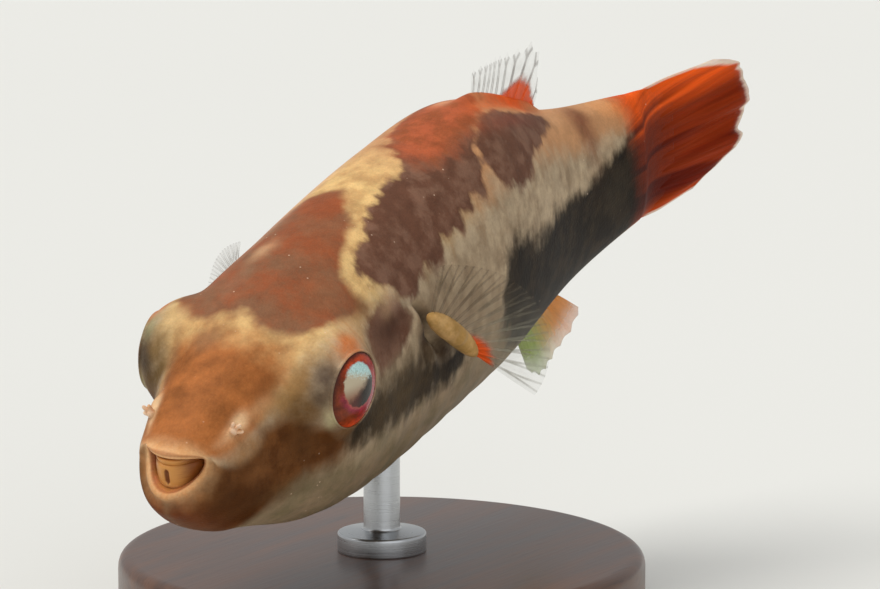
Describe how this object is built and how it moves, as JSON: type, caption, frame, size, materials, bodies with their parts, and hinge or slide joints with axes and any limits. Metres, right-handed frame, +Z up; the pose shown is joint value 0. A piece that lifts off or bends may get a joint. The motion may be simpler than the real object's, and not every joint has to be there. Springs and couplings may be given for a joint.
{
  "type": "freshwater pufferfish",
  "caption": "Small freshwater pufferfish with red eyes and a red tail, nose down and curled to its left, held by a short rod on a round flat stand.",
  "frame": {"origin": "middle of the underside of the stand's base", "axes": "+Z up; the fish faces -Y, nose down; +X is its left side"},
  "size_m": [0.026, 0.0503, 0.0274],
  "materials": {
    "skin": "smooth moist scaleless skin, satin, blotched red-brown, purple-brown, cream and grey",
    "tail_fin": "orange-red fin with dark red rays and a thin white edge, satin",
    "clear_fin": "thin clear fin with pale rays and an orange or yellow root, satin",
    "eye": "polished, deep red iris and a clouded pupil",
    "beak": "ochre tooth plates, semi-gloss",
    "stand_wood": "dark stained wood, satin",
    "stand_steel": "brushed"
  },
  "bodies": {
    "root": {"head": "skin", "trunk": "skin", "tail": "skin", "pectoral_base_left": "skin", "pectoral_base_right": "skin", "nostril_flap_left": "skin", "nostril_flap_right": "skin", "caudal_fin": "tail_fin", "dorsal_fin": "clear_fin", "anal_fin": "clear_fin", "pectoral_fin_left": "clear_fin", "pectoral_fin_right": "clear_fin", "eye_left": "eye", "eye_right": "eye", "beak_upper": "beak", "beak_lower": "beak", "stand_base": "stand_wood", "stand_rod": "stand_steel"}
  },
  "joints": []
}
